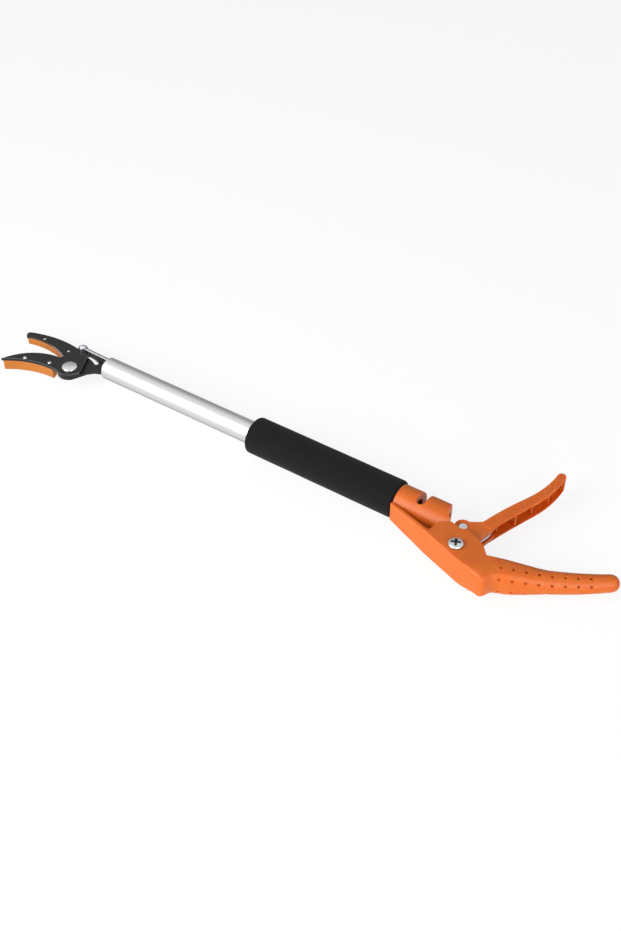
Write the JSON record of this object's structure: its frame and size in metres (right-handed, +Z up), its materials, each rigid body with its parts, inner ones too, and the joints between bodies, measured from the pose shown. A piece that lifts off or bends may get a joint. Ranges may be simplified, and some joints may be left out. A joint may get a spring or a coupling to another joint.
{
  "type": "long-reach pruner",
  "caption": "Long-reach cut-and-hold pruner: bypass jaws on a straight tube, worked by a sprung squeeze lever through a pull rod, with a foam grip and a moulded pistol handle.",
  "frame": {"origin": "centre of the footprint, on the floor that the tool lies on", "axes": "+X from the jaws to the handles along the tube, +Z up from the floor, so the jaws and the handles swing in the XY plane; +Y towards the squeeze lever"},
  "size_m": [0.644, 0.1586, 0.0358],
  "materials": {
    "satin_aluminium": "drawn, satin anodised",
    "black_foam": "closed-cell foam, matt",
    "black_nylon": "moulded, matt",
    "orange_nylon": "moulded, satin",
    "orange_pad": "moulded, satin",
    "zinc_plated_steel": "zinc plated",
    "bright_steel": "bright turned",
    "spring_steel": "bright drawn wire",
    "blackened_steel": "black oxide, satin"
  },
  "bodies": {
    "pole": {"tube": "satin_aluminium", "foam_grip": "black_foam", "tube_plug": "black_nylon", "handle": "orange_nylon", "lever_bolt": "zinc_plated_steel", "lever_nut": "zinc_plated_steel", "lever_bush": "zinc_plated_steel", "jaw_bolt": "bright_steel", "jaw_nut": "zinc_plated_steel", "neck_pin": "bright_steel", "socket_screw_1": "zinc_plated_steel", "socket_screw_2": "zinc_plated_steel", "fixed_jaw": "blackened_steel", "fixed_jaw_pad": "orange_pad", "fixed_pad_rivet_1": "bright_steel", "fixed_pad_rivet_2": "bright_steel"},
    "lever": {"squeeze_lever": "orange_nylon", "lever_pin": "zinc_plated_steel", "return_spring": "spring_steel"},
    "rod": {"pull_rod": "bright_steel", "rod_end": "zinc_plated_steel"},
    "jaw": {"moving_jaw": "blackened_steel", "moving_jaw_pad": "orange_pad", "moving_pad_rivet_1": "bright_steel", "moving_pad_rivet_2": "bright_steel", "eye_rivet": "bright_steel"}
  },
  "joints": [
    {"name": "lever_squeeze", "type": "hinge", "parent": "pole", "child": "lever", "pos_m": [0.19373, -0.05656, 0.0179], "axis": [0, 0, -1], "range_deg": [0, 35], "stiffness_Nm_per_rad": 0.3, "springref_deg": -45.84},
    {"name": "rod_swing", "type": "hinge", "parent": "lever", "child": "rod", "pos_m": [0.1852, -0.02738, 0.0179], "axis": [0, 0, 1], "range_deg": [0, 35]},
    {"name": "jaw_close", "type": "hinge", "parent": "pole", "child": "jaw", "pos_m": [-0.24417, -0.04816, 0.0179], "axis": [0, 0, -1], "range_deg": [0, 35]}
  ],
  "couplings": [
    {"joint": "jaw_close", "follows": "lever_squeeze", "ratio": 1},
    {"joint": "rod_swing", "follows": "lever_squeeze", "ratio": 1}
  ]
}
